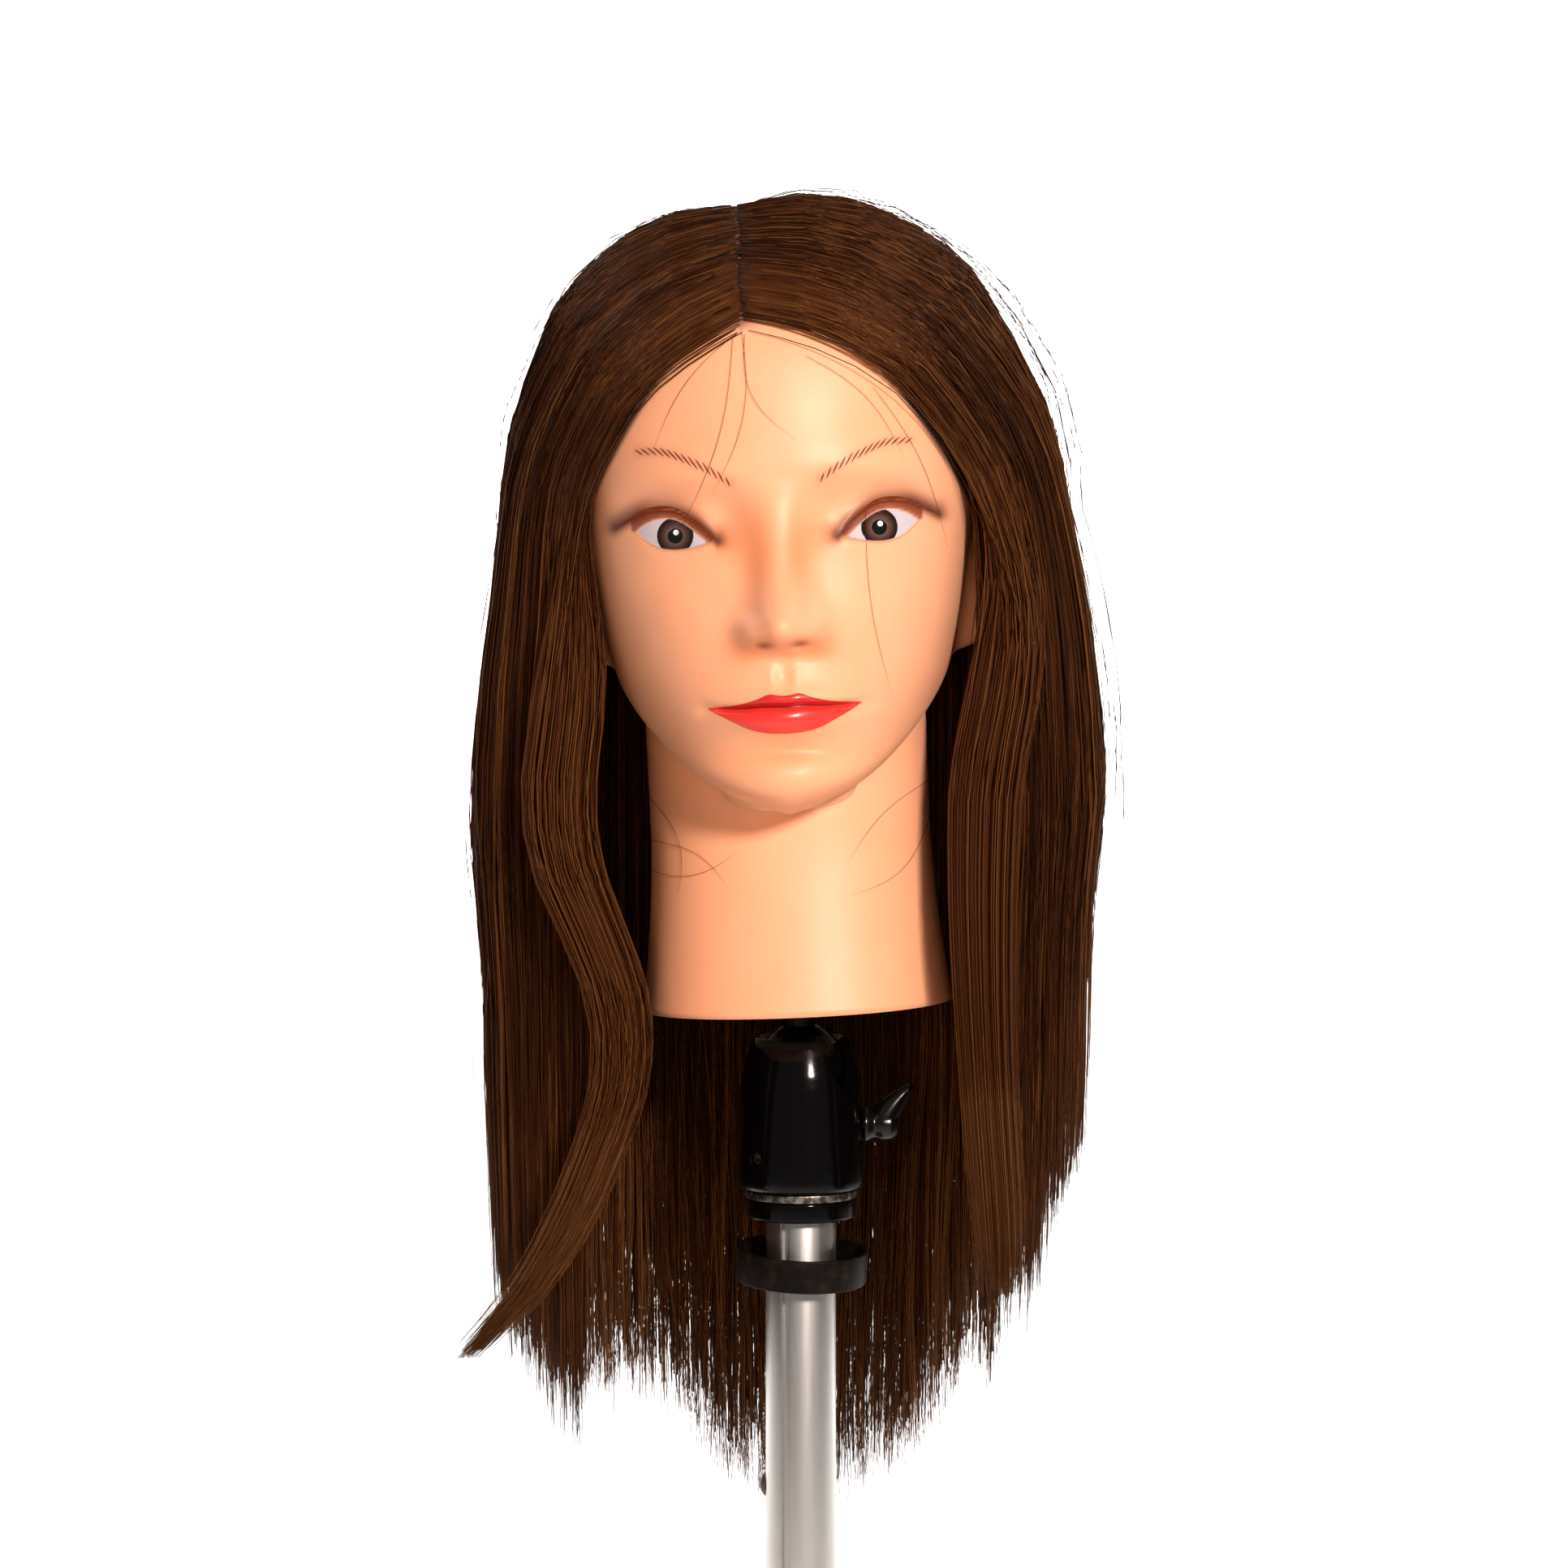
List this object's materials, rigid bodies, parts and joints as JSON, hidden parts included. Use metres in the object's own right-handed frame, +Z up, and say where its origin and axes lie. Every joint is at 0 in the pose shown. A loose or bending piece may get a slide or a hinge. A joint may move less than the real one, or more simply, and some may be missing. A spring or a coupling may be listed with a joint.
{
  "type": "mannequin training head",
  "caption": "Hairdresser's practice head with long rooted hair on a lockable tilting ball holder and the top of its tripod column.",
  "frame": {"origin": "centre of the column's flat foot, where it meets the tripod below", "axes": "+Z up along the column, the face looks along -Y, +X towards the lock handle"},
  "size_m": [0.2379, 0.2386, 0.5658],
  "materials": {
    "vinyl": "satin",
    "foam": "matte",
    "beige_plastic": "satin",
    "hair": "satin",
    "rubber": "matte",
    "steel": "satin",
    "black_enamel": "gloss",
    "black_plastic": "satin",
    "aluminium": "satin",
    "brown_plastic": "satin"
  },
  "bodies": {
    "column": {"column_tube": "aluminium", "column_end_plug": "black_plastic", "column_top_plug": "black_plastic", "pan_ring": "black_enamel", "pan_bolt": "steel", "pan_washer": "steel", "snap_spring": "steel"},
    "housing": {"housing": "black_enamel", "housing_base": "black_plastic", "ball_seat": "beige_plastic", "wedge_block": "steel", "set_screw": "steel"},
    "ball": {"tilt_ball": "black_enamel", "stem": "steel", "cone_washer": "steel", "cone_screw": "steel"},
    "cone": {"grip_cone": "rubber"},
    "head": {"head_skin": "vinyl", "head_core": "foam", "neck_socket": "beige_plastic", "neck_base_plate": "beige_plastic", "hair_crown_left": "hair", "hair_front_left": "hair", "hair_side_left": "hair", "hair_back_left": "hair", "hair_crown_right": "hair", "hair_front_right": "hair", "hair_side_right": "hair", "hair_back_right": "hair"},
    "lock": {"wing_handle": "black_plastic", "lock_screw": "steel"},
    "cup": {"trim_cup": "black_plastic"},
    "button": {"snap_button": "brown_plastic"}
  },
  "joints": [
    {"name": "swivel", "type": "hinge", "parent": "column", "child": "housing", "pos_m": [0, 0, 0.2075], "axis": [0, 0, 1], "continuous": true},
    {"name": "tilt", "type": "hinge", "parent": "housing", "child": "ball", "pos_m": [0, 0, 0.251], "axis": [0.6018, 0.7986, 0], "range_deg": [-20, 55], "deforming": ["hair_front_left", "hair_side_left", "hair_back_left", "hair_front_right", "hair_side_right", "hair_back_right"]},
    {"name": "spin", "type": "hinge", "parent": "ball", "child": "cone", "pos_m": [0, 0, 0.251], "axis": [-0.0436, 0, 0.999], "continuous": true},
    {"name": "lift_off", "type": "slide", "parent": "cone", "child": "head", "axis": [-0.0436, 0, 0.999], "range_m": [0, 0.08]},
    {"name": "lock_turn", "type": "hinge", "parent": "housing", "child": "lock", "pos_m": [0, 0, 0.23], "axis": [1, 0, 0], "range_deg": [-90, 60]},
    {"name": "cup_slide", "type": "slide", "parent": "column", "child": "cup", "axis": [0, 0, 1], "range_m": [-0.05, 0.006]},
    {"name": "button_press", "type": "slide", "parent": "column", "child": "button", "axis": [0.9511, -0.309, 0], "range_m": [0, 0.003], "stiffness_N_per_m": 300, "springref_m": -0.003, "deforming": ["snap_spring"]}
  ]
}
